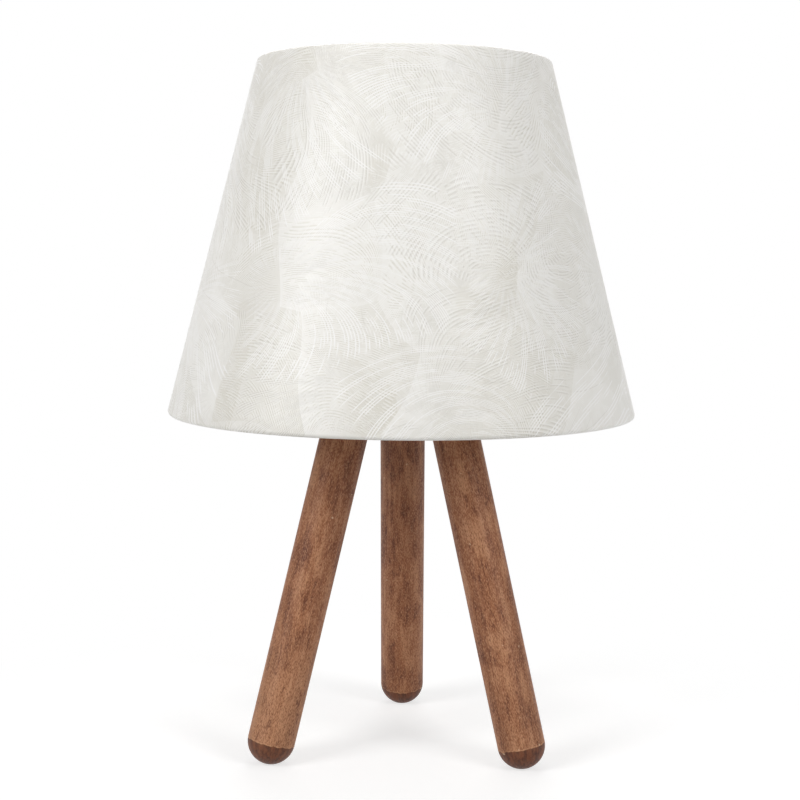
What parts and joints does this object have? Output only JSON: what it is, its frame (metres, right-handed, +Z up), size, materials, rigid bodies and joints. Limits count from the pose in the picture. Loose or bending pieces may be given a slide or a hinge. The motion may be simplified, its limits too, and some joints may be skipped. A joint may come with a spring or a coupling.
{
  "type": "bedside lamp",
  "caption": "Bedside lamp: conical rolled-edge shade clamped on a screw lampholder over a splayed tripod of round wooden legs with ball ends.",
  "frame": {"origin": "on the floor under the lamp's axis, midway across the shade's bounding box", "axes": "+Z up along the lamp's axis, -Y towards the viewer of the picture, +X to the viewer's right"},
  "size_m": [0.2188, 0.2188, 0.3239],
  "materials": {
    "walnut_wood": "satin",
    "zinc_steel": "satin",
    "brass": "satin",
    "white_plastic": "satin",
    "steatite": "matte",
    "white_wire": "satin",
    "printed_cover": "matte",
    "lining": "matte",
    "opal": "satin",
    "nickel": "satin",
    "black_insulator": "gloss",
    "circuit_board": "satin",
    "led_aluminium": "matte",
    "phosphor": "matte"
  },
  "bodies": {
    "base": {"leg_left": "walnut_wood", "leg_right": "walnut_wood", "leg_rear": "walnut_wood", "hub_block": "walnut_wood", "leg_screws": "zinc_steel", "stem_tube": "zinc_steel", "lower_washer": "zinc_steel", "lower_nut": "zinc_steel", "upper_washer": "zinc_steel", "upper_nut": "zinc_steel", "cord_bush": "white_plastic", "holder_cap": "white_plastic", "holder_grub_screw": "zinc_steel", "holder_core": "steatite", "terminals": "brass", "terminal_screws": "zinc_steel", "contact_rivets": "brass", "centre_contact": "brass", "screw_shell": "brass", "holder_skirt": "white_plastic"},
    "shade": {"fitter_ring": "white_wire", "spider_arms": "white_wire", "top_hoop": "white_wire", "bottom_hoop": "white_wire", "shade_liner": "lining", "shade_cover": "printed_cover"},
    "clamp_ring": {"clamp_ring": "white_plastic"},
    "bulb": {"bulb_cap": "nickel", "bulb_insulator": "black_insulator", "bulb_tip": "nickel", "bulb_housing": "white_plastic", "driver_board": "circuit_board", "led_board": "led_aluminium", "led_chips": "phosphor", "bulb_globe": "opal"}
  },
  "joints": [
    {"name": "shade_turn", "type": "hinge", "parent": "base", "child": "shade", "pos_m": [0, 0, 0.2485], "axis": [0, 0, 1], "continuous": true},
    {"name": "clamp_unscrew", "type": "slide", "parent": "base", "child": "clamp_ring", "axis": [0, 0, 1], "range_m": [0, 0.017]},
    {"name": "bulb_unscrew", "type": "slide", "parent": "base", "child": "bulb", "axis": [0, 0, 1], "range_m": [0, 0.085]}
  ]
}
